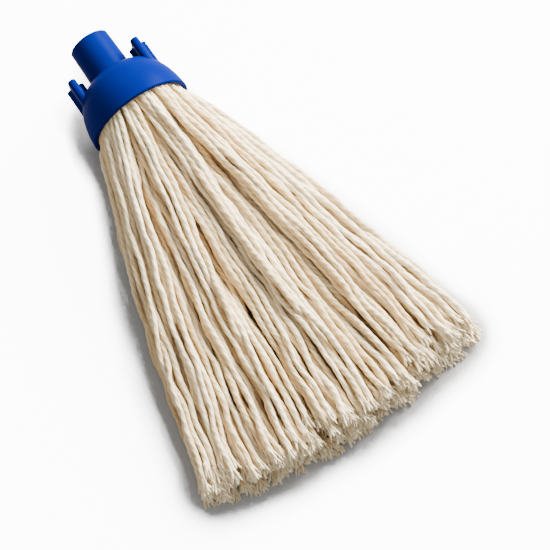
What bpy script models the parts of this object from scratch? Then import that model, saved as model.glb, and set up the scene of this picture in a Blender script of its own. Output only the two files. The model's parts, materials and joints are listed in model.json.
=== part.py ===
"""String mop head: a moulded plastic socket with a skirt of cotton strands, lying on its side.

+Z is up, the mop's own axis lies along Y, the handle goes in at the +Y end and the strands run towards -Y.
The origin is on the ground, under the middle of the whole mop head. Lengths are in metres.
"""

import itertools
import math

import bmesh
import bpy
from mathutils import Matrix, Vector

# The socket, measured from the mouth of its tube along the mop's axis
WHOLE_LENGTH = 0.3290
MOUTH_Y = WHOLE_LENGTH / 2
TUBE_RADIUS = 0.0145
TUBE_DRAFT = 0.0006
TUBE_LENGTH = 0.0285
BORE_RADIUS = 0.0121
BORE_DEPTH = 0.0420
FLOOR_THICKNESS = 0.0025
EDGE_ROUND = 0.0009
SHOULDER_FILLET = 0.0016
RIM_RADIUS = 0.0369
RIM_AT = 0.0654
BELL_WALL = 0.0026
SOCKET_ROLL = math.radians(9)
LATHE_STEPS = 48

# The two wings: upright posts with four rounded lobes, beside the tube
WING_OFFSET = 0.0252
WING_HALF_WIDTH = 0.0065
WING_HALF_HEIGHT = 0.0165
WING_CREST_ROUND = 0.0030
WING_BAR_ROUND = 0.0019
WING_NOTCH = (0.0052, 0.0041)
WING_NOTCH_ROUND = 0.0017
WING_TOP_AT = 0.0214
WING_FOOT_AT = 0.0470
WING_CHAMFER = 0.0006

# What is inside the bell
CLEARANCE = 0.0005
NECK_CAP_RADIUS = 0.0362
NECK_TOP_AT = BORE_DEPTH + FLOOR_THICKNESS + CLEARANCE
PIN_RADIUS = 0.0024
PIN_AT = 0.0500
PIN_LENGTH = 0.0600
BAND_AT = 0.0580
BAND_WIDTH = 0.0050
BAND_INNER_RADIUS = 0.0300
BAND_THICKNESS = 0.0021

# The skirt of strands, in five tresses of eight bundles
AXIS_HEIGHT = RIM_RADIUS
SKIRT_LENGTH = WHOLE_LENGTH - RIM_AT
TRESSES = 5
TRESS_PITCH = 0.0426
CORNER_SHORTENING = 0.0200
ROW_SHORTENING = 0.0020
KNUCKLE_RADIUS = 0.0386
BUNDLE_START_RADIUS = 0.0031
BUNDLE_END_RADIUS = 0.0061
BUNDLE_POINTS = 9
FAN_BULGE = 0.06

# Columns of bundles in the bell's mouth: offset from the axis, how many, their pitch and their shift up
MIDDLE_COLUMNS = ((-0.0027, 4, 0.0164, -0.0041), (0.0027, 4, 0.0164, 0.0041))
INNER_COLUMNS = ((0.0083, 4, 0.0152, -0.0038), (0.0141, 4, 0.0152, 0.0038))
OUTER_COLUMNS = ((0.0200, 4, 0.0134, -0.0034), (0.0262, 3, 0.0131, -0.0034), (0.0308, 1, 0.0, 0.0036))
# Rows of bundles at the cut ends: height above the ground, and offsets from the tress's middle
END_ROWS = ((0.0064, (-0.014, 0.0, 0.014)), (0.0176, (-0.007, 0.007)), (0.0288, (-0.014, 0.0, 0.014)))

BLUE_PLASTIC = ("blue_plastic", (0.0, 0.045, 0.36, 1.0), 0.32, 0.0)
COTTON = ("cotton_yarn", (0.83, 0.75, 0.62, 1.0), 0.95, 0.0)
TWINE = ("binding_twine", (0.78, 0.70, 0.56, 1.0), 0.9, 0.0)
STEEL = ("steel", (0.6, 0.6, 0.6, 1.0), 0.35, 1.0)


def clear_scene():
    """Remove every object that the file starts with."""
    for obj in list(bpy.data.objects):
        bpy.data.objects.remove(obj, do_unlink=True)


def material(finish):
    """The Principled material of a finish: name, colour, roughness, metallic."""
    name, colour, roughness, metallic = finish
    made = bpy.data.materials.get(name)
    if made:
        return made
    made = bpy.data.materials.new(name)
    made.use_nodes = True
    shader = made.node_tree.nodes["Principled BSDF"]
    shader.inputs["Base Color"].default_value = colour
    shader.inputs["Roughness"].default_value = roughness
    shader.inputs["Metallic"].default_value = metallic
    return made


def place(name, data, finish, parent):
    """Put an object of this mesh or curve under its parent empty."""
    data.materials.append(material(finish))
    obj = bpy.data.objects.new(name, data)
    bpy.context.collection.objects.link(obj)
    obj.parent = parent
    return obj


def empty(name, location, rotation=(0.0, 0.0, 0.0)):
    """An empty that other pieces are placed under."""
    obj = bpy.data.objects.new(name, None)
    bpy.context.collection.objects.link(obj)
    obj.location = location
    obj.rotation_euler = rotation
    return obj


def mesh_of(name, bm):
    """Turn a bmesh into a mesh with its faces pointing out and its round parts shaded smooth."""
    bmesh.ops.recalc_face_normals(bm, faces=bm.faces)
    mesh = bpy.data.meshes.new(name)
    bm.to_mesh(mesh)
    bm.free()
    mesh.shade_smooth()
    mesh.set_sharp_from_angle(angle=math.radians(35))
    return mesh


def arc(centre, radius, start, end, steps):
    """Points of an arc in a turned profile, between two angles in degrees."""
    angles = [math.radians(start + (end - start) * i / steps) for i in range(steps + 1)]
    return [(centre[0] + radius * math.cos(a), centre[1] + radius * math.sin(a)) for a in angles]


def bezier(ends, handles, steps):
    """Points of a cubic curve between two ends, with a handle for each."""
    points = []
    for i in range(steps + 1):
        t = i / steps
        weights = ((1 - t) ** 3, 3 * t * (1 - t) ** 2, 3 * t * t * (1 - t), t**3)
        corners = (ends[0], handles[0], handles[1], ends[1])
        points.append(tuple(sum(w * c[k] for w, c in zip(weights, corners)) for k in (0, 1)))
    return points


def lathe(name, profile):
    """Turn a profile of (radius, distance along the axis) points round the local Z axis."""
    bm = bmesh.new()
    half_step = math.pi / LATHE_STEPS
    side, up = math.cos(half_step), math.sin(half_step)
    points = [bm.verts.new((radius * side, radius * up, along)) for radius, along in profile]
    edges = [bm.edges.new(pair) for pair in zip(points, points[1:])]
    if profile[0][0] > 0 and profile[-1][0] > 0:
        edges.append(bm.edges.new((points[-1], points[0])))
    bmesh.ops.spin(bm, geom=points + edges, cent=(0, 0, 0), axis=(0, 0, 1), angle=math.tau,
                   steps=LATHE_STEPS, use_merge=True)
    bmesh.ops.remove_doubles(bm, verts=bm.verts, dist=1e-6)
    return mesh_of(name, bm)


def bell_curve(inset, steps):
    """The bell's outline from its shoulder to its rim, moved in by an inset."""
    root = TUBE_RADIUS + TUBE_DRAFT + SHOULDER_FILLET
    outer = bezier(((root, TUBE_LENGTH + SHOULDER_FILLET), (RIM_RADIUS, RIM_AT)),
                   ((root + 0.0118, TUBE_LENGTH + SHOULDER_FILLET + 0.0016), (0.0362, 0.0462)), steps)
    moved = []
    for i, point in enumerate(outer):
        before, after = outer[max(i - 1, 0)], outer[min(i + 1, steps)]
        run = Vector((after[0] - before[0], after[1] - before[1])).normalized()
        moved.append((point[0] - run.y * inset, point[1] + run.x * inset))
    return moved


def radius_at(curve, along):
    """The radius of a turned curve at a distance along the axis."""
    for low, high in zip(curve, curve[1:]):
        if low[1] <= along <= high[1]:
            share = (along - low[1]) / (high[1] - low[1])
            return low[0] + (high[0] - low[0]) * share
    raise ValueError("the curve doesn't reach that far")


def socket_outside():
    """The solid outside of tube and bell, turned."""
    base = TUBE_RADIUS + TUBE_DRAFT
    profile = [(0.0, 0.0)]
    profile += arc((TUBE_RADIUS - EDGE_ROUND, EDGE_ROUND), EDGE_ROUND, -90, 0, 3)
    profile += [(base, TUBE_LENGTH)]
    profile += arc((base + SHOULDER_FILLET, TUBE_LENGTH), SHOULDER_FILLET, 180, 90, 3)[1:-1]
    profile += bell_curve(0.0, 11)
    profile += [(RIM_RADIUS - 0.0003, RIM_AT + 0.0005), (RIM_RADIUS - 0.0012, RIM_AT + 0.0006)]
    profile += [(0.0, RIM_AT + 0.0006)]
    return lathe("socket_outside", profile)


def bell_cavity():
    """The hollow of the bell, round the end of the handle's bore."""
    inside = [point for point in bell_curve(BELL_WALL, 9) if point[0] > BORE_RADIUS + 2 * BELL_WALL]
    bore_end = BORE_DEPTH + FLOOR_THICKNESS
    profile = [(0.0, bore_end), (BORE_RADIUS + BELL_WALL, bore_end)]
    profile += [(BORE_RADIUS + BELL_WALL, inside[0][1] + 0.0012)]
    profile += inside
    profile += [(inside[-1][0], RIM_AT + 0.0050), (0.0, RIM_AT + 0.0050)]
    return lathe("bell_cavity", profile)


def handle_bore():
    """The bore that takes the handle."""
    profile = [(0.0, -0.0050), (BORE_RADIUS, -0.0050), (BORE_RADIUS, BORE_DEPTH), (0.0, BORE_DEPTH)]
    return lathe("handle_bore", profile)


def wing_outline(inset):
    """One wing's four-lobed outline: a tall blade crossed by a short bar, with rounded tips and notches."""
    blade = arc((0.0, WING_HALF_HEIGHT - WING_CREST_ROUND), WING_CREST_ROUND - inset, 90, 8, 4)
    notch = arc(WING_NOTCH, WING_NOTCH_ROUND + inset, 187, 262, 3)
    bar = arc((WING_HALF_WIDTH - WING_BAR_ROUND, 0.0), WING_BAR_ROUND - inset, 72, 0, 3)
    quarter = blade + notch + bar
    right = quarter + [(x, -y) for x, y in reversed(quarter[:-1])]
    return right + [(-x, y) for x, y in reversed(right[1:-1])]


def wing(name, side):
    """One wing as a closed post, from its chamfered top down into the bell."""
    levels = ((WING_TOP_AT, WING_CHAMFER), (WING_TOP_AT + WING_CHAMFER, 0.0), (WING_FOOT_AT, 0.0))
    bm = bmesh.new()
    rings = []
    for along, inset in levels:
        rings.append([bm.verts.new((side * WING_OFFSET + x, y, along)) for x, y in wing_outline(inset)])
    for low, high in zip(rings, rings[1:]):
        for i in range(len(low)):
            j = (i + 1) % len(low)
            bm.faces.new((low[i], low[j], high[j], high[i]))
    bm.faces.new(rings[0])
    bm.faces.new(rings[-1])
    return mesh_of(name, bm)


def combine(obj, operation, mesh, parent, rotation=(0.0, 0.0, 0.0)):
    """Join or cut an object with a tool, which stays as a wire guide."""
    tool = bpy.data.objects.new(mesh.name, mesh)
    bpy.context.collection.objects.link(tool)
    tool.parent = parent
    tool.rotation_euler = rotation
    tool.hide_render = True
    tool.display_type = "WIRE"
    modifier = obj.modifiers.new(mesh.name, "BOOLEAN")
    modifier.operation = operation
    modifier.object = tool


def make_socket(axis):
    """The moulded socket: tube, bell and wings in one piece, hollow for the handle and the yarn."""
    rolled = (0.0, 0.0, SOCKET_ROLL)
    socket = place("socket_shell", socket_outside(), BLUE_PLASTIC, axis)
    socket.rotation_euler = rolled
    combine(socket, "UNION", wing("left_wing", -1), axis, rolled)
    combine(socket, "UNION", wing("right_wing", 1), axis, rolled)
    combine(socket, "DIFFERENCE", bell_cavity(), axis)
    combine(socket, "DIFFERENCE", handle_bore(), axis)


def make_neck(axis):
    """The folded yarn in the bell, with a groove for its band and a hole for the pin."""
    inside = bell_curve(BELL_WALL + CLEARANCE, 9)
    groove = (BAND_AT - BAND_WIDTH / 2 - CLEARANCE, BAND_AT + BAND_WIDTH / 2 + CLEARANCE)
    groove_radius = BAND_INNER_RADIUS - CLEARANCE
    above = [p for p in inside if NECK_TOP_AT < p[1] < groove[0]]
    lip = inside[-1][0]
    cap_start = math.degrees(math.acos(lip / NECK_CAP_RADIUS))
    profile = [(0.0, NECK_TOP_AT), (radius_at(inside, NECK_TOP_AT), NECK_TOP_AT)] + above
    profile += [(radius_at(inside, groove[0]), groove[0])]
    profile += [(groove_radius, groove[0]), (groove_radius, groove[1])]
    profile += [(radius_at(inside, groove[1]), groove[1])]
    profile += [p for p in inside[:-1] if p[1] > groove[1]]
    profile += arc((0.0, RIM_AT), NECK_CAP_RADIUS, cap_start, 90, 6)
    profile[-1] = (0.0, RIM_AT + NECK_CAP_RADIUS)
    neck = place("yarn_neck", lathe("yarn_neck", profile), COTTON, axis)
    hole = cross_rod("pin_hole", PIN_RADIUS + CLEARANCE, PIN_LENGTH + 0.02)
    combine(neck, "DIFFERENCE", hole, axis)


def cross_rod(name, radius, length):
    """A round rod across the mop, through the middle of the bell."""
    bm = bmesh.new()
    bmesh.ops.create_cone(bm, cap_ends=True, segments=16, radius1=radius, radius2=radius, depth=length)
    bmesh.ops.rotate(bm, verts=bm.verts, matrix=Matrix.Rotation(math.pi / 2, 3, "Y"))
    bmesh.ops.translate(bm, verts=bm.verts, vec=(0.0, 0.0, PIN_AT))
    return mesh_of(name, bm)


def make_band(axis):
    """The band of twine drawn tight round the folded yarn."""
    low, high = BAND_AT - BAND_WIDTH / 2, BAND_AT + BAND_WIDTH / 2
    outer = BAND_INNER_RADIUS + BAND_THICKNESS
    crown = 0.0006
    profile = [(BAND_INNER_RADIUS, low), (outer - crown, low), (outer, low + crown),
               (outer, high - crown), (outer - crown, high), (BAND_INNER_RADIUS, high)]
    place("binding_band", lathe("binding_band", profile), TWINE, axis)


def mouth_places(tress):
    """Where a tress's bundles leave the bell, as (x, height over the axis)."""
    columns = (MIDDLE_COLUMNS, INNER_COLUMNS, OUTER_COLUMNS)[abs(tress)]
    side = -1 if tress < 0 else 1
    return [(side * x, side * (shift + (row - (count - 1) / 2) * pitch))
            for x, count, pitch, shift in columns for row in range(count)]


def end_places(tress):
    """Where a tress's bundles end on the ground, as (x, height over the axis)."""
    return [(tress * TRESS_PITCH + x, height - AXIS_HEIGHT) for height, row in END_ROWS for x in row]


def match(starts, ends):
    """Pair each start with an end so that the strands travel least and none cross."""
    travel = [[(s[0] - e[0]) ** 2 + (s[1] - e[1]) ** 2 for e in ends] for s in starts]
    orders = itertools.permutations(range(len(ends)))
    best = min(orders, key=lambda order: sum(travel[i][j] for i, j in enumerate(order)))
    return [(starts[i], ends[j]) for i, j in enumerate(best)]


def bundle_points(start, end):
    """A bundle's route and its radius at each point, from just off the knuckle to the cut end."""
    reach = max(math.hypot(*start) - BUNDLE_START_RADIUS, 0.0)
    first = math.sqrt(KNUCKLE_RADIUS**2 - reach**2)
    row = round((end[1] - END_ROWS[0][0] + AXIS_HEIGHT) / (END_ROWS[1][0] - END_ROWS[0][0]))
    widest = (TRESSES - 1) / 2 * TRESS_PITCH + END_ROWS[0][1][-1]
    last = SKIRT_LENGTH - CORNER_SHORTENING * (end[0] / widest) ** 2 - ROW_SHORTENING * row
    points = []
    for i in range(BUNDLE_POINTS):
        along = first + (last - first) * i / (BUNDLE_POINTS - 1)
        share = along / last
        fan = share + FAN_BULGE * math.sin(math.pi * share)
        x = start[0] + (end[0] - start[0]) * fan
        height = start[1] + (end[1] - start[1]) * share
        radius = BUNDLE_START_RADIUS + (BUNDLE_END_RADIUS - BUNDLE_START_RADIUS) * share**2
        points.append((Vector((x, -along, height)), radius))
    return points


def make_bundle(name, start, end, hinge):
    """One bundle of strands: a tapered tube along its route."""
    curve = bpy.data.curves.new(name, "CURVE")
    curve.dimensions = "3D"
    curve.bevel_depth = 1.0
    curve.bevel_resolution = 1
    curve.use_fill_caps = True
    route = bundle_points(start, end)
    spline = curve.splines.new("POLY")
    spline.points.add(len(route) - 1)
    for point, (place_at, radius) in zip(spline.points, route):
        point.co = (*place_at, 1.0)
        point.radius = radius
    place(name, curve, COTTON, hinge)


def make_tresses():
    """The skirt: five tresses, each hinged in the middle of the bell's mouth."""
    mouth_centre = (0.0, MOUTH_Y - RIM_AT, AXIS_HEIGHT)
    for number in range(TRESSES):
        tress = number - TRESSES // 2
        hinge = empty(f"tress_{number + 1}_hinge", mouth_centre)
        pairs = match(mouth_places(tress), end_places(tress))
        for bundle, (start, end) in enumerate(pairs):
            make_bundle(f"strands_{number + 1}_{bundle + 1}", start, end, hinge)


def main():
    clear_scene()
    axis = empty("mop_axis", (0.0, MOUTH_Y, AXIS_HEIGHT), (math.pi / 2, 0.0, 0.0))
    make_socket(axis)
    make_neck(axis)
    place("retaining_pin", cross_rod("retaining_pin", PIN_RADIUS, PIN_LENGTH), STEEL, axis)
    make_band(axis)
    make_tresses()


main()
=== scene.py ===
"""Looks for the string mop head: its yarn, its moulded socket, the light and the camera.

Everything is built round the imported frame, in metres, with +Z up and the strands running towards -Y.
"""

from __future__ import annotations

import json
import logging
import math
from dataclasses import dataclass, field
from enum import Enum

import bmesh
import bpy
import numpy as np
from bpy.types import Material, Node, NodeSocket, NodeTree, Object
from mathutils import Matrix, Vector


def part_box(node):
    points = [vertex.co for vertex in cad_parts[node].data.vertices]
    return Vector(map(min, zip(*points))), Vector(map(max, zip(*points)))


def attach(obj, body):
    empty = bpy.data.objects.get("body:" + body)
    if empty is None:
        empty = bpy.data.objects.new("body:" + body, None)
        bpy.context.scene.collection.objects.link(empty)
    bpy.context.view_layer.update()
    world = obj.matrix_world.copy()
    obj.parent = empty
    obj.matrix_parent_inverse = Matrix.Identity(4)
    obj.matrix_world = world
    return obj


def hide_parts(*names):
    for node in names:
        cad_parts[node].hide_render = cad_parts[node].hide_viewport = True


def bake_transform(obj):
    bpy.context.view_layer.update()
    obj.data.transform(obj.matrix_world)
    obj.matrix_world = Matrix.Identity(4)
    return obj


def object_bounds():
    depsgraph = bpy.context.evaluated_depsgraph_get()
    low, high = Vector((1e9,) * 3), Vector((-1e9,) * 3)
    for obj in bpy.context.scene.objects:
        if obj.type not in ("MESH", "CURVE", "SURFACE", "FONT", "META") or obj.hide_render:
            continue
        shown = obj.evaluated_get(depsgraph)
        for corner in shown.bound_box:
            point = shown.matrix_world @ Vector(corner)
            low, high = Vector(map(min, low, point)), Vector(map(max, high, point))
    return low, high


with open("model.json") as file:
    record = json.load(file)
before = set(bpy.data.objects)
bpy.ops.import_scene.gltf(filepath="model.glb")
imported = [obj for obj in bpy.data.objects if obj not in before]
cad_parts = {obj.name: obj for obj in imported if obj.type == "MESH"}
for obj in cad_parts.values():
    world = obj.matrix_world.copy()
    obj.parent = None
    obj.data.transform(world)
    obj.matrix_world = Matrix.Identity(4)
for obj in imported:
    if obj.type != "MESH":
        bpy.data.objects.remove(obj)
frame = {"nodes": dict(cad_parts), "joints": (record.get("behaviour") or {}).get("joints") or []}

CAD_BOX = [list(corner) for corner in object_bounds()]
MM = 0.001
LOG = logging.getLogger("mop")
Pair = tuple[float, float]
Place = tuple[float, float, float]
Colour = tuple[float, float, float, float]


class Slot(Enum):
    """The record's material slots."""

    PLASTIC = "blue_plastic"
    YARN = "cotton_yarn"


# ---- shader tools


@dataclass
class Graph:
    """A material's or a node group's nodes, with short ways to add and join them.

    Args:
        tree: The node tree that is filled.
    """

    tree: NodeTree

    def add(self, kind: str, inputs: dict | None = None, **settings: object) -> Node:
        """Add a node.

        Args:
            kind: The node's type name.
            inputs: Socket names or numbers, each with a value or another node's output.
            settings: Attributes of the node itself.

        Returns:
            The new node.
        """
        node = self.tree.nodes.new(kind)
        for name, value in settings.items():
            setattr(node, name, value)
        self.fill(node, inputs or {})
        return node

    def fill(self, node: Node, inputs: dict) -> None:
        """Give a node's sockets their values, or join them to other nodes' outputs."""
        for name, value in inputs.items():
            socket = node.inputs[name]
            if isinstance(value, NodeSocket):
                self.tree.links.new(value, socket)
            else:
                socket.default_value = value

    def math(self, operation: str, first: object, second: object = 0.0, third: object = 0.0) -> object:
        """A Math node's output for two or three values or sockets."""
        return self.add("ShaderNodeMath", {0: first, 1: second, 2: third}, operation=operation).outputs[0]

    def mix(self, factor: object, first: object, second: object) -> object:
        """A colour that goes from first to second with the factor."""
        node = self.add("ShaderNodeMix", {0: factor, 6: first, 7: second}, data_type="RGBA")
        return node.outputs[2]


def node_group(name: str, inputs: dict[str, tuple[str, object]], outputs: dict[str, str]) -> tuple:
    """Start a shader node group with named sockets.

    Args:
        name: The group's name.
        inputs: Socket names, each with its type and its usual value.
        outputs: Socket names, each with its type.

    Returns:
        The group, its graph, its input node and its output node.
    """
    group = bpy.data.node_groups.new(name, "ShaderNodeTree")
    for label, (kind, usual) in inputs.items():
        socket = group.interface.new_socket(label, in_out="INPUT", socket_type=kind)
        if usual is not None:
            socket.default_value = usual
    for label, kind in outputs.items():
        group.interface.new_socket(label, in_out="OUTPUT", socket_type=kind)
    graph = Graph(group)
    return group, graph, graph.add("NodeGroupInput"), graph.add("NodeGroupOutput")


def fibre_grain() -> NodeTree:
    """The fine fibres of spun cotton: lines along the plies, with thick and thin places.

    Returns:
        A group that puts out a height for bump and a tone from 0, shaded, to 1, pale, whose darker grooves
        between plies are painted shade.
    """
    found = bpy.data.node_groups.get("fibre_grain")
    if found:
        return found
    group, graph, given, put = node_group(
        "fibre_grain",
        {"Around": ("NodeSocketFloat", 0.0), "Along": ("NodeSocketFloat", 0.0),
         "Tone": ("NodeSocketFloat", 0.0), "Lines": ("NodeSocketFloat", 26.0),
         "Line Length": ("NodeSocketFloat", 0.006), "Plies": ("NodeSocketFloat", 5.0)},
        {"Height": "NodeSocketFloat", "Shade": "NodeSocketFloat"},
    )
    around, along, tone = given.outputs["Around"], given.outputs["Along"], given.outputs["Tone"]
    across = graph.math("MULTIPLY", around, given.outputs["Lines"])
    runs = graph.math("DIVIDE", along, given.outputs["Line Length"])
    seed = graph.math("MULTIPLY", tone, 57.0)
    fine_at = graph.add("ShaderNodeCombineXYZ", {0: across, 1: runs, 2: seed}).outputs[0]
    fine = graph.add("ShaderNodeTexNoise",
                     {"Vector": fine_at, "Scale": 1.0, "Detail": 3.0, "Roughness": 0.75}).outputs["Fac"]
    slub_at = graph.add("ShaderNodeCombineXYZ",
                        {0: graph.math("MULTIPLY", around, 3.0),
                         1: graph.math("MULTIPLY", along, 70.0), 2: seed}).outputs[0]
    slub = graph.add("ShaderNodeTexNoise", {"Vector": slub_at, "Scale": 1.0, "Detail": 1.5}).outputs["Fac"]
    turn = graph.math("MULTIPLY", graph.math("MULTIPLY", around, given.outputs["Plies"]), math.tau)
    ply = graph.math("MULTIPLY_ADD", graph.math("COSINE", turn), 0.5, 0.5)
    height = graph.math("ADD", graph.math("MULTIPLY", fine, 0.75), graph.math("MULTIPLY", ply, 0.35))
    shade = graph.math("ADD", graph.math("MULTIPLY", fine, 0.75), graph.math("MULTIPLY", slub, 0.25))
    # The ply term paints shade into the grooves between plies; the fibre lines and slubs are the cotton's own
    # uneven colour.
    shade = graph.math("MULTIPLY_ADD", ply, 0.16, graph.math("SUBTRACT", shade, 0.08))
    graph.tree.links.new(height, put.inputs["Height"])
    graph.tree.links.new(shade, put.inputs["Shade"])
    return group


def fine_mottle() -> NodeTree:
    """The small unevenness of a moulded or drawn surface, and a wide, faint cloud over it.

    Returns:
        A group that puts out a height for bump and a mask from 0 to 1.
    """
    found = bpy.data.node_groups.get("fine_mottle")
    if found:
        return found
    group, graph, given, put = node_group(
        "fine_mottle",
        {"Grain Size": ("NodeSocketFloat", 0.0006), "Cloud Size": ("NodeSocketFloat", 0.02)},
        {"Height": "NodeSocketFloat", "Mask": "NodeSocketFloat"},
    )
    place = graph.add("ShaderNodeTexCoord").outputs["Object"]
    grain_scale = graph.math("DIVIDE", 1.0, given.outputs["Grain Size"])
    cloud_scale = graph.math("DIVIDE", 1.0, given.outputs["Cloud Size"])
    grain = graph.add("ShaderNodeTexNoise",
                      {"Vector": place, "Scale": grain_scale, "Detail": 2.0}).outputs["Fac"]
    cloud = graph.add("ShaderNodeTexNoise",
                      {"Vector": place, "Scale": cloud_scale, "Detail": 3.0}).outputs["Fac"]
    graph.tree.links.new(grain, put.inputs["Height"])
    graph.tree.links.new(cloud, put.inputs["Mask"])
    return group


def start_material(name: str) -> tuple[Material, Graph, Node]:
    """A new node material.

    Args:
        name: The material's name.

    Returns:
        The material, its graph and its Principled shader.
    """
    made = bpy.data.materials.new(name)
    made.use_nodes = True
    return made, Graph(made.node_tree), made.node_tree.nodes["Principled BSDF"]


@dataclass(frozen=True)
class YarnFinish:
    """Unbleached cotton, spun soft, with fibre streaks from pale to tan that are the cotton's own uneven
    colour, except the tan in the grooves between plies, which is painted shade. Where the yarn lies under
    other strands and on its lower side it is mixed towards the shaded colour as painted shade.
    """

    name: str
    pale: Colour = (0.95, 0.81, 0.54, 1.0)
    tan: Colour = (0.70, 0.515, 0.265, 1.0)
    # shaded: the colour of the painted shade on yarn under other strands and on the strands' lower sides
    shaded: Colour = (0.64, 0.42, 0.19, 1.0)
    lines: float = 17.0
    line_length: float = 1.8 * MM
    plies: float = 3.0
    relief: float = 0.8 * MM
    tone_share: float = 0.35
    tan_below: float = 0.33
    pale_above: float = 0.58
    painted_shade_share: float = 0.8
    roughness: float = 0.95
    specular: float = 0.2
    sheen: float = 0.08
    sheen_roughness: float = 0.5

    def build(self) -> Material:
        """Make the material from the yarn's own coordinates: round it and along it."""
        made, graph, shader = start_material(self.name)
        where = graph.add("ShaderNodeSeparateXYZ",
                          {0: graph.add("ShaderNodeUVMap", uv_map="yarn").outputs[0]}).outputs
        tone = graph.add("ShaderNodeAttribute", attribute_name="tone").outputs["Fac"]
        grain = graph.add("ShaderNodeGroup",
                          {"Around": where[0], "Along": where[1], "Tone": tone, "Lines": self.lines,
                           "Line Length": self.line_length, "Plies": self.plies}, node_tree=fibre_grain())
        shade = graph.math("MULTIPLY_ADD", graph.math("SUBTRACT", tone, 0.5), self.tone_share,
                           grain.outputs["Shade"])
        factor = graph.add("ShaderNodeMapRange",
                           {"Value": shade, "From Min": self.tan_below, "From Max": self.pale_above})
        # Painted shade: the deep attribute marks yarn under other strands and on the strands' lower sides,
        # and mixes it towards the shaded colour.
        deep = graph.add("ShaderNodeAttribute", attribute_name="deep").outputs["Fac"]
        lit = graph.mix(factor.outputs[0], self.tan, self.pale)
        colour = graph.mix(graph.math("MULTIPLY", deep, self.painted_shade_share), lit, self.shaded)
        bump = graph.add("ShaderNodeBump",
                         {"Height": grain.outputs["Height"], "Distance": self.relief, "Strength": 1.0})
        graph.fill(shader, {"Base Color": colour, "Normal": bump.outputs[0], "Roughness": self.roughness,
                            "Specular IOR Level": self.specular, "Sheen Weight": self.sheen,
                            "Sheen Roughness": self.sheen_roughness})
        return made


@dataclass(frozen=True)
class MouldedFinish:
    """Blue moulded plastic with a satin skin."""

    name: str
    deep: Colour = (0.0, 0.0045, 0.085, 1.0)
    light: Colour = (0.0, 0.0065, 0.105, 1.0)
    smoothest: float = 0.30
    roughest: float = 0.38
    specular: float = 0.006
    grain: float = 0.5 * MM
    cloud: float = 18 * MM
    relief: float = 0.003 * MM

    def build(self) -> Material:
        """Make the material: faint clouds in colour and gloss, and the mould's fine texture."""
        made, graph, shader = start_material(self.name)
        mottle = graph.add("ShaderNodeGroup", {"Grain Size": self.grain, "Cloud Size": self.cloud},
                           node_tree=fine_mottle())
        colour = graph.mix(mottle.outputs["Mask"], self.deep, self.light)
        rough = graph.add("ShaderNodeMapRange", {"Value": mottle.outputs["Mask"],
                                                 "To Min": self.smoothest, "To Max": self.roughest})
        bump = graph.add("ShaderNodeBump", {"Height": mottle.outputs["Height"], "Distance": self.relief})
        graph.fill(shader, {"Base Color": colour, "Normal": bump.outputs[0], "Roughness": rough.outputs[0],
                            "Specular IOR Level": self.specular})
        return made


@dataclass(frozen=True)
class SteelFinish:
    """Drawn steel wire, slightly clouded."""

    name: str
    dark: Colour = (0.42, 0.42, 0.43, 1)
    bright: Colour = (0.62, 0.62, 0.62, 1)
    smoothest: float = 0.25
    roughest: float = 0.5

    def build(self) -> Material:
        """Make the material: bare metal whose gloss changes a little over it."""
        made, graph, shader = start_material(self.name)
        mottle = graph.add("ShaderNodeGroup", node_tree=fine_mottle())
        colour = graph.mix(mottle.outputs["Mask"], self.dark, self.bright)
        rough = graph.add("ShaderNodeMapRange", {"Value": mottle.outputs["Mask"],
                                                 "To Min": self.smoothest, "To Max": self.roughest})
        graph.fill(shader, {"Base Color": colour, "Roughness": rough.outputs[0], "Metallic": 1.0})
        return made


@dataclass(frozen=True)
class FloorFinish:
    """A white floor that glows to the camera only; the glow dims near the mop, most on the side away from the
    key light, as a painted shadow.
    """

    name: str
    glow: float = 11.0
    shade_reach: float = 27 * MM
    dark_below: float = 0.84
    bright_above: float = 0.99
    dark: Colour = (0.40, 0.40, 0.40, 1)
    pale: Colour = (0.43, 0.43, 0.43, 1)
    lit_from: Place = (0.62, 0.34, 0.70)

    def build(self) -> Material:
        """Make the material: matt white with a barely visible unevenness, and its glow, dimmed near the mop
        as a painted shadow.
        """
        made, graph, shader = start_material(self.name)
        # Painted shadow: ambient occlusion, leaned towards the key light, dims the glow where the mop is
        # close.
        open_sky = graph.add("ShaderNodeAmbientOcclusion",
                             {"Distance": self.shade_reach, "Normal": self.lit_from}, samples=16)
        glow = graph.add("ShaderNodeMapRange",
                         {"Value": open_sky.outputs["AO"], "From Min": self.dark_below,
                          "From Max": self.bright_above, "To Max": self.glow})
        seen = graph.add("ShaderNodeLightPath").outputs["Is Camera Ray"]
        strength = graph.math("MULTIPLY", glow.outputs[0], seen)
        mottle = graph.add("ShaderNodeGroup", node_tree=fine_mottle())
        colour = graph.mix(mottle.outputs["Mask"], self.dark, self.pale)
        graph.fill(shader, {"Base Color": colour, "Roughness": 0.9, "Emission Strength": strength,
                            "Emission Color": (1.0, 1.0, 1.0, 1.0)})
        return made


# ---- the frame's sizes


@dataclass
class MopAxis:
    """Where the socket's axis lies, read from the frame.

    Points near it are given as side (+X), up (from the axis) and out (from the rim, towards the cut ends).
    """

    rim_y: float = field(init=False)
    mouth_y: float = field(init=False)
    height: float = field(init=False)

    def __post_init__(self) -> None:
        """Read the socket's highest corner and the joints' place."""
        hinge = frame["joints"][0]["pos_m"]
        self.mouth_y = float(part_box("socket_shell")[1][1])
        self.rim_y = float(hinge[1])
        self.height = float(hinge[2])

    def world(self, side: np.ndarray, up: np.ndarray, out: np.ndarray) -> np.ndarray:
        """Turn side, up and out into world points."""
        return np.stack([side, self.rim_y - out, self.height + up], axis=-1)


def link(obj: Object) -> Object:
    """Put a new object in the scene."""
    bpy.context.scene.collection.objects.link(obj)
    return obj


# ---- the strands' routes


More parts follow.
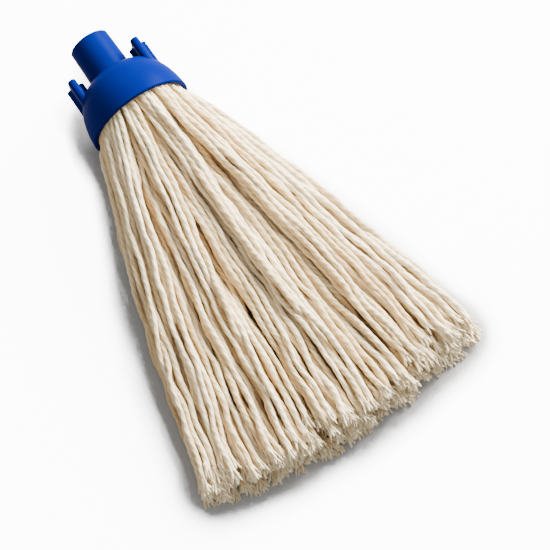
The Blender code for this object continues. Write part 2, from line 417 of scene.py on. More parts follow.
@dataclass
class StrandLayout:
    """Lays every strand from the bell's mouth to its cut end, beside and on top of the others.

    Each frame bundle gives a middle line. Its strands start side by side round that line, wander a
    little, and are then pushed apart, pulled down and smoothed for some rounds. A few still overlap.
    """

    axis: MopAxis
    strands_each: int = 6
    strand_radius: float = 1.85 * MM
    station_step: float = 7 * MM
    root_out: float = -12 * MM
    rounds: int = 110
    mouth_reach: float = 32.0 * MM
    loosest: float = 6.0 * MM
    middle_trim: float = 7.0 * MM
    half_spread: float = 105.0 * MM
    cut_spread: float = 7.5 * MM
    cut_past_mm: float = 2.5
    waves: tuple[Pair, ...] = ((2.3 * MM, 0.17), (1.3 * MM, 0.08), (0.6 * MM, 0.043))
    clearance: float = 0.05 * MM
    swelling: float = 0.16
    push_share: float = 0.55
    largest_push: float = 1.2 * MM
    sag: float = 0.15 * MM
    sagging_share: float = 0.8
    pull: float = 0.009
    smoothing: float = 0.22
    seed: int = 7
    names: list[str] = field(default_factory=list)
    stations: np.ndarray = field(init=False)
    ends: np.ndarray = field(init=False)
    places: np.ndarray = field(init=False)
    buried: np.ndarray = field(init=False)

    def middle_line(self, node: str) -> tuple[np.ndarray, float]:
        """A bundle's middle line at every station, from a smooth fit through its solid.

        Args:
            node: The bundle's name in the frame.

        Returns:
            Side and up at each station, and how far out the bundle ends.
        """
        corners = np.array([v.co for v in frame["nodes"][node].data.vertices])
        out = self.axis.rim_y - corners[:, 1]
        reach = float(out.max())
        line = np.empty((len(self.stations), 2))
        for column, values in ((0, corners[:, 0]), (1, corners[:, 2] - self.axis.height)):
            fit = np.poly1d(np.polyfit(out, values, 3))
            slope = fit.deriv()
            first = float(out.min())
            straight = fit(first) + slope(first) * (self.stations - first)
            line[:, column] = np.where(self.stations < first, straight, fit(self.stations))
        return line, reach

    def start(self, rng: np.random.Generator) -> np.ndarray:
        """The strands' first places: a ring round each bundle's middle line, turning and wandering.

        Args:
            rng: Where the small differences between strands come from.

        Returns:
            Side and up for every strand at every station.
        """
        rows, ends = [], []
        share = np.clip(self.stations / self.stations[-1], 0, 1)
        for node in self.names:
            line, reach = self.middle_line(node)
            turn = rng.uniform(0, math.tau)
            turning = rng.uniform(-1.1, 1.1)
            for strand in range(self.strands_each):
                angle = turn + turning * share + strand * math.tau / self.strands_each
                apart = (2.3 + 2.1 * share) * MM * rng.uniform(0.85, 1.15)
                own = line + np.stack([np.cos(angle) * apart, np.sin(angle) * apart * 0.9], axis=-1)
                rows.append(own + self.wander(rng, share))
                ragged = abs(rng.normal(0.0, self.cut_spread)) - rng.uniform(0, self.cut_past_mm) * MM
                ends.append(reach - ragged - self.middle_trim * (1 - (line[-1, 0] / self.half_spread) ** 2))
        self.ends = np.array(ends)
        return np.array(rows)

    def wander(self, rng: np.random.Generator, share: np.ndarray) -> np.ndarray:
        """The slow side to side waves of a limp strand, growing towards its free end."""
        waves = np.zeros((len(share), 2))
        for size, length in self.waves:
            for column in (0, 1):
                phase = rng.uniform(0, math.tau)
                grow = 0.35 + 0.65 * share
                size_now = size * rng.uniform(0.4, 1.3)
                waves[:, column] += size_now * grow * np.sin(self.stations / length * math.tau + phase)
        return waves

    def solve(self) -> None:
        """Find the strands' resting places."""
        rng = np.random.default_rng(self.seed)
        longest = self.axis.rim_y - CAD_BOX[0][1]
        count = int(round((longest - self.root_out) / self.station_step)) + 1
        self.stations = np.linspace(self.root_out, longest, count)
        wanted = self.start(rng)
        place = wanted.copy()
        share = np.clip(self.stations / longest, 0, 1)
        growth = 1.0 + self.swelling * share + self.swelling * share**4
        width = (2.0 * self.strand_radius + self.clearance) * growth
        group = np.repeat(np.arange(len(self.names)), self.strands_each)
        floor = self.strand_radius - self.axis.height + 0.1 * MM
        for step in range(self.rounds):
            place += self.contact(place, width) * self.push_share
            place[:, :, 1] -= self.sag * share * (step < self.rounds * self.sagging_share)
            place += (wanted - place) * self.pull
            middle = np.stack([place[group == g].mean(axis=0) for g in range(len(self.names))])
            apart = place - middle[group]
            size = np.linalg.norm(apart, axis=2, keepdims=True) + 1e-12
            place = middle[group] + apart * np.minimum(0.99, self.loosest / size)
            bend = place - wanted
            bend[:, 1:-1] += self.smoothing * (bend[:, 2:] + bend[:, :-2] - 2 * bend[:, 1:-1])
            place = wanted + bend
            self.keep_in(place, floor)
        self.places = place
        self.buried = self.cover(place)

    def cover(self, place: np.ndarray) -> np.ndarray:
        """How far each strand lies under others at every station, from 0 to 1, which sets the yarn's painted
        shade.
        """
        above = place[None, :, :, 1] - place[:, None, :, 1]
        beside = np.abs(place[None, :, :, 0] - place[:, None, :, 0])
        near = np.clip(1 - beside / (2.2 * self.strand_radius), 0, 1) * (above > self.strand_radius * 0.8)
        return np.clip(near.sum(axis=1) / 1.6, 0, 1)

    def contact(self, place: np.ndarray, width: np.ndarray) -> np.ndarray:
        """How far each strand is pushed by those that it lies in, at every station."""
        push = np.zeros_like(place)
        for station in range(place.shape[1]):
            here = place[:, station]
            gap = here[:, None] - here[None]
            distance = np.hypot(gap[..., 0], gap[..., 1]) + 1e-9
            overlap = np.clip(width[station] - distance, 0, None)
            overlap += 0.07 * np.clip(1.6 * width[station] - distance, 0, None)
            np.fill_diagonal(overlap, 0)
            push[:, station] = (gap * (overlap / distance * 0.5)[..., None]).sum(axis=1)
        size = np.linalg.norm(push, axis=2, keepdims=True) + 1e-12
        return push * np.minimum(1.0, self.largest_push / size)

    def keep_in(self, place: np.ndarray, floor: float) -> None:
        """Hold the strands inside the bell's mouth and above the floor."""
        np.maximum(place[:, :, 1], floor, out=place[:, :, 1])
        for station in np.flatnonzero(self.stations < 3.5 * MM):
            here = place[:, station]
            size = np.linalg.norm(here, axis=1, keepdims=True) + 1e-12
            here *= np.minimum(1.0, self.mouth_reach / size)

    def bundle(self, number: int) -> slice:
        """Which strands belong to a bundle."""
        return slice(number * self.strands_each, (number + 1) * self.strands_each)


def smooth_line(points: np.ndarray, step: float) -> np.ndarray:
    """A smooth curve through points, with new points about one step apart.

    Args:
        points: The points that the curve goes through.
        step: The wanted distance along the curve.

    Returns:
        The finer points.
    """
    before = np.vstack([2 * points[0] - points[1], points, 2 * points[-1] - points[-2]])
    length = float(np.linalg.norm(np.diff(points, axis=0), axis=1).sum())
    each = max(2, int(round(length / (len(points) - 1) / step)))
    share = (np.arange(each) / each)[:, None]
    runs = []
    for i in range(len(points) - 1):
        a, b, c, d = before[i:i + 4]
        runs.append(0.5 * (2 * b + (c - a) * share + (2 * a - 5 * b + 4 * c - d) * share**2
                           + (3 * b - a - 3 * c + d) * share**3))
    return np.vstack(runs + [points[-1:]])


# ---- yarn as a mesh


@dataclass
class YarnMesh:
    """Collects tubes of yarn, with coordinates round and along each, into one mesh, with a random tone and an
    amount of painted shade for each point.
    """

    points: list[np.ndarray] = field(default_factory=list)
    faces: list[np.ndarray] = field(default_factory=list)
    corners: list[np.ndarray] = field(default_factory=list)
    tones: list[np.ndarray] = field(default_factory=list)
    depths: list[np.ndarray] = field(default_factory=list)
    count: int = 0

    def tube(self, line: np.ndarray, radii: np.ndarray, turns: np.ndarray, tone: float,
             sides: int, lobes: np.ndarray | float = 0.0, plies: int = 5,
             flatten: np.ndarray | float = 1.0, buried: np.ndarray | float = 0.0) -> None:
        """Add one closed tube.

        Args:
            line: Its middle line.
            radii: Its radius at each point of the line.
            turns: How far the plies have turned at each point, in whole turns.
            tone: A number from 0 to 1 that sets its colour apart.
            sides: How many sides it has.
            lobes: How deep the plies stand out, as a share of the radius.
            plies: How many plies it shows.
            flatten: Its height as a share of its width.
            buried: How far it lies under other yarn at each point, from 0 to 1, which sets how much painted
                shade it gets.
        """
        ahead = np.gradient(line, axis=0)
        ahead /= np.linalg.norm(ahead, axis=1, keepdims=True)
        right = np.cross(ahead, (0.0, 0.0, 1.0))
        right /= np.linalg.norm(right, axis=1, keepdims=True) + 1e-12
        upward = np.cross(right, ahead)
        around = np.arange(sides) / sides
        angle = (around * math.tau)[None, :]
        wave = 1.0 + lobes_at(lobes, line) * np.cos(plies * (angle - turns[:, None] * math.tau))
        reach = radii[:, None] * wave
        ring = (line[:, None] + right[:, None] * (reach * np.cos(angle))[..., None]
                + upward[:, None] * (reach * np.sin(angle) * lobes_at(flatten, line))[..., None])
        rings = len(line)
        side, next_side = np.arange(sides), (np.arange(sides) + 1) % sides
        base = (np.arange(rings - 1) * sides)[:, None]
        quads = np.stack([base + side, base + sides + side, base + sides + next_side, base + next_side],
                         axis=-1)
        run = np.concatenate([[0], np.cumsum(np.linalg.norm(np.diff(line, axis=0), axis=1))])
        u0 = around[None] - turns[:-1, None]
        u1 = around[None] - turns[1:, None]
        wide = 1.0 / sides
        v0 = np.broadcast_to(run[:-1, None], u0.shape)
        v1 = np.broadcast_to(run[1:, None], u0.shape)
        corners = np.stack([np.stack([u0, v0], -1), np.stack([u1, v1], -1),
                            np.stack([u1 + wide, v1], -1), np.stack([u0 + wide, v0], -1)], axis=2)
        self.points.append(ring.reshape(-1, 3))
        self.faces.append(quads.reshape(-1, 4) + self.count)
        self.corners.append(corners.reshape(-1, 2))
        self.tones.append(np.full(rings * sides + 2, tone))
        # Painted shade: more where the yarn lies under other strands and on the lower side of the tube,
        # stored as the deep attribute that darkens the yarn's colour.
        under = lobes_at(buried, line) + 0.55 * np.clip(0.15 - np.sin(angle), 0, 1)
        self.depths.append(np.append(np.clip(under, 0, 1).ravel(), (0.5, 0.5)))
        self.close(line, rings, sides, run)
        self.count += rings * sides + 2

    def close(self, line: np.ndarray, rings: int, sides: int, run: np.ndarray) -> None:
        """Close both ends of the tube that was just added with a point each."""
        self.points.append(line[[0, -1]])
        side, next_side = np.arange(sides), (np.arange(sides) + 1) % sides
        first, last = self.count + rings * sides, self.count + rings * sides + 1
        top = self.count + (rings - 1) * sides
        start = np.stack([np.full(sides, first), self.count + side, self.count + next_side,
                          np.full(sides, -1)], -1)
        end = np.stack([np.full(sides, last), top + next_side, top + side, np.full(sides, -1)], -1)
        self.faces.append(np.vstack([start, end]))
        for at in (run[0], run[-1]):
            flat = np.zeros((sides * 3, 2))
            flat[:, 0] = np.repeat(side / sides, 3)
            flat[:, 1] = at
            self.corners.append(flat)

    def build(self, name: str) -> Object:
        """Make the object, with its yarn coordinates, tones and painted-shade amounts.

        Args:
            name: The piece's name.

        Returns:
            The new object, in the scene.
        """
        faces = np.vstack(self.faces)
        loose = [tuple(row) if row[3] >= 0 else tuple(row[:3]) for row in faces.tolist()]
        mesh = bpy.data.meshes.new(name)
        mesh.from_pydata(np.vstack(self.points).tolist(), [], loose)
        mesh.uv_layers.new(name="yarn").data.foreach_set("uv", np.vstack(self.corners).ravel())
        tones = mesh.attributes.new("tone", "FLOAT", "POINT")
        tones.data.foreach_set("value", np.concatenate(self.tones).astype(np.float32))
        depths = mesh.attributes.new("deep", "FLOAT", "POINT")
        depths.data.foreach_set("value", np.concatenate(self.depths).astype(np.float32))
        mesh.shade_smooth()
        return link(bpy.data.objects.new(name, mesh))


def lobes_at(value: np.ndarray | float, line: np.ndarray) -> np.ndarray:
    """A value for each point of a line as a column, whether it is one number or many."""
    return np.broadcast_to(np.asarray(value, float), (len(line),))[:, None]


# ---- the skirt


@dataclass
class Skirt:
    """The skirt of strands: one piece for each frame bundle, of strands with brushed-out ends."""

    axis: MopAxis
    layout: StrandLayout
    ply_turn: float = 21 * MM
    strand_sides: int = 12
    line_step: float = 2.0 * MM
    opening: float = 20 * MM
    tips_each: int = 8
    tip_radius: float = 0.62 * MM
    tip_length: float = 11 * MM
    hairs_each: int = 9
    blend_out: float = 38 * MM
    hair_radius: float = 0.085 * MM
    declared_width: float = 16.5 * MM
    ripples: tuple[Pair, ...] = ((0.55 * MM, 33 * MM), (0.2 * MM, 17 * MM), (0.08 * MM, 9 * MM))
    seed: int = 11
    pieces: list[Object] = field(default_factory=list)

    def strand_line(self, number: int) -> np.ndarray:
        """A strand's smooth middle line, cut at its own length."""
        route = self.cut_route(self.layout.places[number], self.layout.ends[number])
        return smooth_line(route, self.line_step)

    def cut_route(self, side_up: np.ndarray, end: float) -> np.ndarray:
        """World points along a route of side and up, cut at a distance from the rim."""
        stations = self.layout.stations
        kept = stations < end - 1 * MM
        side, up = (np.append(side_up[kept, k], np.interp(end, stations, side_up[:, k])) for k in (0, 1))
        return self.axis.world(side, up, np.append(stations[kept], end))

    def ripple(self, line: np.ndarray, run: np.ndarray, rng: np.random.Generator) -> np.ndarray:
        """Give a strand the short, uneven ripples of yarn that was folded and packed."""
        moved = line.copy()
        for size, length in self.ripples:
            for column in (0, 2):
                drift = 0.8 * np.sin(run / 0.05 + rng.uniform(0, math.tau))
                strength = 0.5 + 0.5 * np.sin(run / 0.034 + rng.uniform(0, math.tau))
                wave = np.sin(run / length * math.tau + rng.uniform(0, math.tau) + drift)
                moved[:, column] += size * strength * wave * np.clip(run / 0.03, 0, 1)
        return moved

    def add_strand(self, mesh: YarnMesh, line: np.ndarray, buried: np.ndarray,
                   rng: np.random.Generator) -> None:
        """Add one strand: twisted plies that open towards the cut end, its loose tips and stray fibres.

        Args:
            mesh: The mesh that takes it.
            line: Its middle line.
            buried: How far it lies under others, evenly spaced along it, which sets its painted shade.
            rng: Where its small differences come from.
        """
        run = np.concatenate([[0], np.cumsum(np.linalg.norm(np.diff(line, axis=0), axis=1))])
        line = self.ripple(line, run, rng)
        left = run[-1] - run
        opened = np.clip(1 - left / (self.opening * rng.uniform(0.8, 1.3)), 0, 1) ** 1.6
        slow = 0.06 * np.sin(run / 0.011 + rng.uniform(0, 6))
        swell = 1 + slow + 0.05 * np.sin(run / 0.0043 + rng.uniform(0, 6))
        flare = rng.uniform(0.2, 0.5)
        radii = self.layout.strand_radius * rng.uniform(0.86, 1.14) * swell * (1 + flare * opened)
        rate = (1 + 0.25 * np.sin(run / 0.017 + rng.uniform(0, 6))) / self.ply_turn * (1 - 0.85 * opened)
        turns = np.concatenate([[0], np.cumsum(rate[1:] * np.diff(run))]) + rng.uniform()
        tone = rng.uniform()
        kept = left > 4 * MM
        closing = np.clip(left / (9 * MM), 0.45, 1)
        mesh.tube(line[kept], (radii * closing)[kept], turns[kept], tone, self.strand_sides,
                  lobes=(0.085 + 0.12 * opened)[kept], plies=3, flatten=(1 - 0.25 * opened)[kept],
                  buried=np.interp(run, np.linspace(0, run[-1], len(buried)), buried)[kept])
        self.add_tips(mesh, line, radii[-1], turns[-1], tone, rng)
        self.add_hairs(mesh, line, radii[0], tone, rng)

    def add_tips(self, mesh: YarnMesh, line: np.ndarray, radius: float, turn: float,
                 tone: float, rng: np.random.Generator) -> None:
        """Add the loose yarn tips at a strand's cut end, spreading like a brush."""
        end = line[-1]
        ahead = line[-1] - line[-5]
        ahead /= np.linalg.norm(ahead)
        right = np.cross(ahead, (0.0, 0.0, 1.0))
        right /= np.linalg.norm(right)
        upward = np.cross(right, ahead)
        floor = self.tip_radius + 0.2 * MM
        share = np.linspace(0, 1, 7)[:, None]
        sag = rng.uniform(0.0, 2.2) * MM
        lean = rng.uniform(-1.2, 1.2) * MM
        fan = rng.uniform(0.7, 1.7)
        for tip in range(self.tips_each):
            angle = math.tau * (tip / self.tips_each + turn) + rng.uniform(-0.3, 0.3)
            inner = 0.35 if tip % 3 == 2 else 0.8
            outward = right * math.cos(angle) + upward * math.sin(angle) * 0.8
            spread = rng.uniform(0.6, 2.0) * fan * MM
            reach = rng.uniform(-2.6, 1.6) * MM
            start = end - ahead * self.tip_length + outward * radius * inner * 0.6
            stop = end + ahead * reach + outward * (radius * inner + spread) + right * lean
            curl = (right * rng.normal(0, 0.5) + upward * rng.normal(0, 0.5)) * MM
            points = start + (stop - start) * share + (curl - outward * 0.7 * MM) * np.sin(math.pi * share)
            points[:, 2] = np.maximum(points[:, 2] - sag * share[:, 0] ** 2, floor)
            thick = self.tip_radius * rng.uniform(0.75, 1.3) * np.array([1.0, 1.0, 1.0, 0.95, 1.05, 1.0, 0.7])
            mesh.tube(points, thick, np.linspace(0, 0.6, 7), 0.85 + 0.4 * rng.uniform(),
                      sides=6, buried=0.0)

    def add_hairs(self, mesh: YarnMesh, line: np.ndarray, radius: float, tone: float,
                  rng: np.random.Generator) -> None:
        """Add the stray fibres that stand off a strand."""
        for _ in range(self.hairs_each):
            at = int(rng.integers(8, len(line) - 8))
            ahead = line[at + 2] - line[at - 2]
            ahead /= np.linalg.norm(ahead)
            away = rng.normal(0, 1, 3)
            away[2] = abs(away[2])
            away -= ahead * (away @ ahead)
            away /= np.linalg.norm(away)
            share = np.linspace(0, 1, 6)[:, None]
            length = rng.uniform(3, 9) * MM
            lift = rng.uniform(0.8, 2.6) * MM
            bow = np.cross(ahead, away) * rng.normal(0, 1.2) * MM
            points = (line[at] + away * (radius * 0.7 + lift * share * (1.4 - 0.6 * share))
                      + ahead * length * share + bow * np.sin(math.pi * share))
            points[:, 2] = np.maximum(points[:, 2], 0.3 * MM)
            mesh.tube(points, np.full(6, self.hair_radius), np.zeros(6), tone, sides=3)

    def build(self) -> None:
        """Make every bundle's piece."""
        rng = np.random.default_rng(self.seed)
        for number, node in enumerate(self.layout.names):
            mesh = YarnMesh()
            members = range(*self.layout.bundle(number).indices(len(self.layout.places)))
            for strand in members:
                self.add_strand(mesh, self.strand_line(strand), self.layout.buried[strand], rng)
            piece = mesh.build(node.replace("strands", "yarn_bundle"))
            self.declare(piece, node, list(members))
            self.pieces.append(piece)

    def declare(self, piece: Object, node: str, members: list[int]) -> None:
        """Work out the bundle's middle route, bake the piece's place into its mesh and hide the frame bundle
        that it replaces.
        """
        middle = self.layout.places[members].mean(axis=0)
        path = self.cut_route(middle, self.layout.ends[members].max())
        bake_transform(piece)
        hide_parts(node)

    def dress(self, finish: Material) -> None:
        """Give every bundle its yarn."""
        for piece in self.pieces:
            piece.data.materials.append(finish)
        LOG.info("skirt: %d bundles of %d strands", len(self.pieces), self.layout.strands_each)


# ---- the socket


@dataclass
class Socket:
    """The blue moulding: a handle tube, a bell and two lobed wings, in one piece."""

    axis: MopAxis
    tube_radius: float = 14.5 * MM
    tube_draft: float = 0.6 * MM
    tube_length: float = 28.5 * MM
    bore_radius: float = 12.1 * MM
    bore_depth: float = 42.0 * MM
    floor_thickness: float = 2.5 * MM
    edge_round: float = 0.9 * MM
    fillet: float = 1.6 * MM
    rim_radius: float = 36.9 * MM
    rim_at: float = 65.4 * MM
    wall: float = 2.6 * MM
    wing_offset: float = 25.2 * MM
    wing_half: Pair = (6.5 * MM, 16.5 * MM)
    crest_round: float = 3.0 * MM
    bar_round: float = 1.9 * MM
    wing_notch: Pair = (5.2 * MM, 4.1 * MM)
    notch_round: float = 1.7 * MM
    wing_top: float = 21.4 * MM
    wing_foot: float = 47.0 * MM
    wing_chamfer: float = 0.7 * MM
    shoulder: Pair = (11.8 * MM, 1.6 * MM)
    flank: Pair = (36.2 * MM, 46.2 * MM)
    lip_height: float = 0.6 * MM
    lip_round: float = 0.9 * MM
    cut_past: float = 5 * MM
    inner_step: float = 1.2 * MM
    roll: float = math.radians(9)
    lathe_steps: int = 160
    sharpest: float = math.radians(32)
    piece: Object | None = None

    @staticmethod
    def arc(centre: Pair, radius: float, start: float, end: float,
            steps: int) -> list[Pair]:
        """Points of an arc between two angles in degrees."""
        turns = [math.radians(start + (end - start) * i / steps) for i in range(steps + 1)]
        return [(centre[0] + radius * math.cos(a), centre[1] + radius * math.sin(a)) for a in turns]

    def bell_curve(self, inset: float, steps: int) -> list[Pair]:
        """The bell's outline from shoulder to rim, moved in by an inset.

        Args:
            inset: How far in from the outside.
            steps: How many parts the curve has.

        Returns:
            Radius and distance from the tube's mouth, point by point.
        """
        root = self.tube_radius + self.tube_draft + self.fillet
        top = self.tube_length + self.fillet
        corners = ((root, top), (root + self.shoulder[0], top + self.shoulder[1]), self.flank,
                   (self.rim_radius, self.rim_at))
        outer = []
        for i in range(steps + 1):
            t = i / steps
            weights = ((1 - t) ** 3, 3 * t * (1 - t) ** 2, 3 * t * t * (1 - t), t**3)
            outer.append(tuple(sum(w * c[k] for w, c in zip(weights, corners)) for k in (0, 1)))
        moved = []
        for i, point in enumerate(outer):
            before, after = outer[max(i - 1, 0)], outer[min(i + 1, steps)]
            run = Vector((after[0] - before[0], after[1] - before[1])).normalized()
            moved.append((point[0] - run.y * inset, point[1] + run.x * inset))
        return moved

    def lathe(self, name: str, profile: list[Pair]) -> Object:
        """Turn a profile round the socket's axis.

        Args:
            name: The object's name.
            profile: Radius and distance from the tube's mouth, starting and ending on the axis.

        Returns:
            The turned solid, in the scene.
        """
        bm = bmesh.new()
        points = [bm.verts.new((radius, 0.0, along)) for radius, along in profile]
        edges = [bm.edges.new(pair) for pair in zip(points, points[1:])]
        bmesh.ops.spin(bm, geom=points + edges, cent=(0, 0, 0), axis=(0, 0, 1), angle=math.tau,
                       steps=self.lathe_steps, use_merge=True)
        bmesh.ops.remove_doubles(bm, verts=bm.verts, dist=1e-6)
        bmesh.ops.recalc_face_normals(bm, faces=bm.faces)
        mesh = bpy.data.meshes.new(name)
        bm.to_mesh(mesh)
        bm.free()
        return link(bpy.data.objects.new(name, mesh))

    def outside(self) -> Object:
        """The outside of tube and bell as one turned solid."""
        base = self.tube_radius + self.tube_draft
        lip = self.rim_at + self.lip_height
        profile = [(0.0, 0.0)]
        profile += self.arc((self.tube_radius - self.edge_round, self.edge_round), self.edge_round, -90, 0, 8)
        profile += [(self.tube_radius + self.tube_draft * k / 6, self.edge_round + (self.tube_length
                     - self.edge_round) * k / 6) for k in range(1, 6)]
        profile += self.arc((base + self.fillet, self.tube_length), self.fillet, 180, 90, 8)[:-1]
        profile += self.bell_curve(0.0, 40)
        profile += self.arc((self.rim_radius - self.lip_round, lip - self.lip_round), self.lip_round,
                            20, 90, 5)
        profile += [(0.0, lip)]
        return self.lathe("socket_outside", profile)

    def cavity(self) -> Object:
        """The hollow of the bell, round the closed end of the handle's bore."""
        skin = self.bore_radius + self.wall
        inside = [p for p in self.bell_curve(self.wall, 40) if p[0] > skin + self.wall]
        bottom = self.bore_depth + self.floor_thickness
        profile = [(0.0, bottom), (skin, bottom), (skin, inside[0][1] + self.inner_step)] + inside
        profile += [(inside[-1][0], self.rim_at + self.cut_past), (0.0, self.rim_at + self.cut_past)]
        return self.lathe("bell_cavity", profile)

    def bore(self) -> Object:
        """The bore that takes the handle."""
        profile = [(0.0, -self.cut_past), (self.bore_radius, -self.cut_past),
                   (self.bore_radius, self.bore_depth), (0.0, self.bore_depth)]
        return self.lathe("handle_bore", profile)

    def wing_outline(self, inset: float) -> list[Pair]:
        """A wing's outline: a tall blade crossed by a short bar, with rounded tips and notches."""
        half_width, half_height = self.wing_half
        blade = self.arc((0.0, half_height - self.crest_round), self.crest_round - inset, 90, 8, 12)
        notch = self.arc(self.wing_notch, self.notch_round + inset, 187, 262, 8)
        bar = self.arc((half_width - self.bar_round, 0.0), self.bar_round - inset, 72, 0, 8)
        quarter = blade + notch + bar
        right = quarter + [(x, -y) for x, y in reversed(quarter[:-1])]
        return right + [(-x, y) for x, y in reversed(right[1:-1])]

    def wing(self, name: str, side: int) -> Object:
        """One wing as a post that runs down into the bell."""
        levels = ((self.wing_top, self.wing_chamfer), (self.wing_top + 0.3 * self.wing_chamfer,
                  0.3 * self.wing_chamfer), (self.wing_top + self.wing_chamfer, 0.0), (self.wing_foot, 0.0))
        bm = bmesh.new()
        rings = []
        for along, inset in levels:
            outline = self.wing_outline(inset)
            rings.append([bm.verts.new((side * self.wing_offset + x, y, along)) for x, y in outline])
        for low, high in zip(rings, rings[1:]):
            for i in range(len(low)):
                j = (i + 1) % len(low)
                bm.faces.new((low[i], low[j], high[j], high[i]))
        bm.faces.new(rings[0])
        bm.faces.new(rings[-1])
        bmesh.ops.recalc_face_normals(bm, faces=bm.faces)
        mesh = bpy.data.meshes.new(name)
        bm.to_mesh(mesh)
        bm.free()
        return link(bpy.data.objects.new(name, mesh))

    def build(self) -> None:
        """Join and hollow the moulding, then lay it on the mop's axis."""
        body = self.outside()
        tools = [(self.wing("left_wing", -1), "UNION"), (self.wing("right_wing", 1), "UNION"),
                 (self.cavity(), "DIFFERENCE"), (self.bore(), "DIFFERENCE")]
        for tool, operation in tools:
            modifier = body.modifiers.new(tool.name, "BOOLEAN")
            modifier.operation = operation
            modifier.object = tool
        piece = evaluated_copy(body, "moulded_socket")
        for tool, _ in tools:
            bpy.data.objects.remove(tool, do_unlink=True)
        bpy.data.objects.remove(body, do_unlink=True)
        piece.location = (0.0, self.axis.mouth_y, self.axis.height)
        piece.rotation_mode = "ZXY"
        piece.rotation_euler = (math.pi / 2, 0.0, 0.0)
        piece.data.transform(Matrix.Rotation(self.roll, 4, "Z"))
        piece.data.set_sharp_from_angle(angle=self.sharpest)
        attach(piece, "socket")
        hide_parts("socket_shell")
        self.piece = piece

    def dress(self, finish: Material) -> None:
        """Give the moulding its plastic."""
        self.piece.data.materials.clear()
        self.piece.data.materials.append(finish)
        LOG.info("socket: %d faces", len(self.piece.data.polygons))


def evaluated_copy(obj: Object, name: str) -> Object:
    """A new object with the mesh that another's modifiers make.

    Args:
        obj: The object with modifiers.
        name: The new object's name.

    Returns:
        The new object, in the scene, with no modifiers.
    """
    shown = obj.evaluated_get(bpy.context.evaluated_depsgraph_get())
    mesh = bpy.data.meshes.new_from_object(shown)
    mesh.name = name
    mesh.shade_smooth()
    return link(bpy.data.objects.new(name, mesh))


@dataclass
class BellFilling:
    """What sits in the bell: the folded yarn, its band of twine and the steel pin."""

    axis: MopAxis
    half_width: float = 22.0
    columns: int = 11
    depths: tuple[float, ...] = (6.0, 13.5, 21.0)
    mouth: float = 28.0
    yarn_radius: float = 2.0 * MM
    line_step: float = 2 * MM
    seed: int = 3
    piece: Object | None = None

    def build(self) -> None:
        """Make the folded yarn as a ring of loops that go up one side of the pin and down the other."""
        mesh = YarnMesh()
        rng = np.random.default_rng(self.seed)
        for column in np.linspace(-self.half_width, self.half_width, self.columns) * MM:
            for depth in self.depths:
                half = depth * MM
                top = math.sqrt(max(self.mouth**2 - (column / MM) ** 2, 0)) * MM
                if half > top:
                    continue
                angle = np.linspace(0, math.pi, 15)
                up = half * np.cos(angle)
                out = -(4 + 10 * np.sin(angle) * (1.1 - half / (40 * MM))) * MM
                side = np.full_like(up, column + rng.uniform(-0.4, 0.4) * MM)
                line = smooth_line(self.axis.world(side, up, out), self.line_step)
                mesh.tube(line, np.full(len(line), self.yarn_radius), np.linspace(0, 2, len(line)),
                          rng.uniform(), 10, lobes=0.07)
        self.piece = mesh.build("folded_yarn")
        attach(self.piece, "socket")
        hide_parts("yarn_neck")

    def dress(self, yarn: Material, twine: Material, steel: Material) -> None:
        """Give the yarn, the band and the pin their finishes."""
        self.piece.data.materials.append(yarn)
        for node, finish in (("binding_band", twine), ("retaining_pin", steel)):
            for slot in frame["nodes"][node].material_slots:
                slot.material = finish
        LOG.info("bell filling: folded yarn, binding band and retaining pin")


# ---- studio


@dataclass(frozen=True)
class Lamp:
    """A soft square light that faces the mop."""

    name: str
    place: Place
    size: float
    power: float
    colour: Place

    def hang(self, target: Vector) -> None:
        """Put the light in the scene, turned to the target."""
        data = bpy.data.lights.new(self.name, "AREA")
        data.size = self.size
        data.energy = self.power
        data.color = self.colour
        lamp = link(bpy.data.objects.new(self.name, data))
        lamp.location = self.place
        lamp.rotation_euler = (Vector(self.place) - target).to_track_quat("Z", "Y").to_euler()


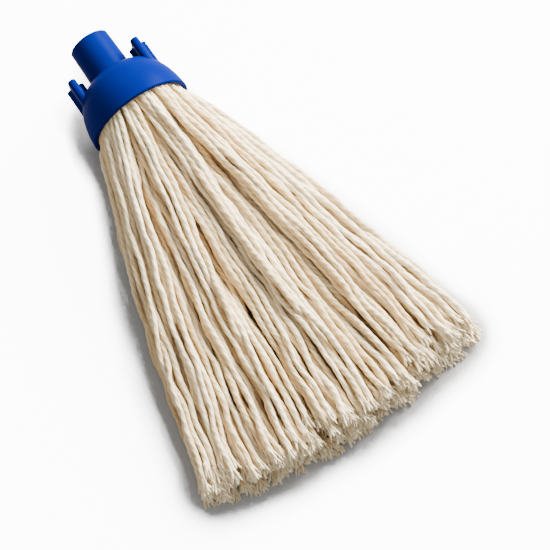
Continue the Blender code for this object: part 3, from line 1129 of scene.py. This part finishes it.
@dataclass
class Studio:
    """The white floor, the soft light and the camera."""

    azimuth: float = math.radians(-33.6)
    elevation: float = math.radians(68.5)
    lens: float = 135.0
    frame_width: float = 0.3632
    aim: Place = (0.0, -0.004, 0.02)
    shift: Pair = (0.088, -0.0535)
    floor_half: float = 3.0
    room_light: float = 0.61
    lamps: tuple[Lamp, ...] = (Lamp("key", (1.5, 0.6, 0.95), 1.1, 335.0, (1.0, 0.97, 0.93)),
                               Lamp("fill", (-0.3, -0.9, 1.8), 1.2, 3.0, (0.95, 0.97, 1.0)))

    def back(self) -> Vector:
        """The direction from the object towards the camera."""
        flat = math.cos(self.elevation)
        return Vector((math.sin(self.azimuth) * flat, -math.cos(self.azimuth) * flat,
                       math.sin(self.elevation)))

    def build_camera(self) -> None:
        """Set the camera at a long lens's distance."""
        data = bpy.data.cameras.new("camera")
        data.lens = self.lens
        data.shift_x, data.shift_y = self.shift
        distance = self.frame_width * self.lens / data.sensor_width
        camera = link(bpy.data.objects.new("camera", data))
        camera.location = Vector(self.aim) + self.back() * distance
        camera.rotation_euler = self.back().to_track_quat("Z", "Y").to_euler()
        data.clip_end = 20
        bpy.context.scene.camera = camera

    def build_floor(self, finish: Material) -> None:
        """Lay the floor under the mop."""
        mesh = bpy.data.meshes.new("floor")
        half = self.floor_half
        mesh.from_pydata([(-half, -half, 0), (half, -half, 0), (half, half, 0), (-half, half, 0)], [],
                         [(0, 1, 2, 3)])
        mesh.materials.append(finish)
        floor = link(bpy.data.objects.new("floor", mesh))

    def build_light(self) -> None:
        """Light the mop from above and from its right, with a pale room around it."""
        world = bpy.data.worlds.new("room")
        world.use_nodes = True
        background = world.node_tree.nodes["Background"]
        background.inputs["Color"].default_value = (1.0, 1.0, 1.0, 1.0)
        background.inputs["Strength"].default_value = self.room_light
        bpy.context.scene.world = world
        for lamp in self.lamps:
            lamp.hang(Vector((0, 0, 0.03)))


def main() -> None:
    """Build the mop head piece by piece, then the studio."""
    logging.basicConfig(level=logging.INFO, format="%(name)s: %(message)s")
    axis = MopAxis()
    studio = Studio()
    studio.build_camera()
    studio.build_light()
    studio.build_floor(FloorFinish("white_floor").build())

    bundles = sorted(name for name in frame["nodes"] if name.startswith("strands_"))
    layout = StrandLayout(axis, names=bundles)
    layout.solve()
    yarn = YarnFinish("cotton_yarn").build()
    twine = YarnFinish("binding_twine", pale=(0.78, 0.70, 0.56, 1.0), tan=(0.5, 0.4, 0.28, 1.0)).build()
    skirt = Skirt(axis, layout)
    skirt.build()
    skirt.dress(yarn)

    socket = Socket(axis)
    socket.build()
    socket.dress(MouldedFinish("moulded_blue").build())
    filling = BellFilling(axis)
    filling.build()
    filling.dress(yarn, twine, SteelFinish("drawn_steel").build())


if __name__ == "__main__":
    main()
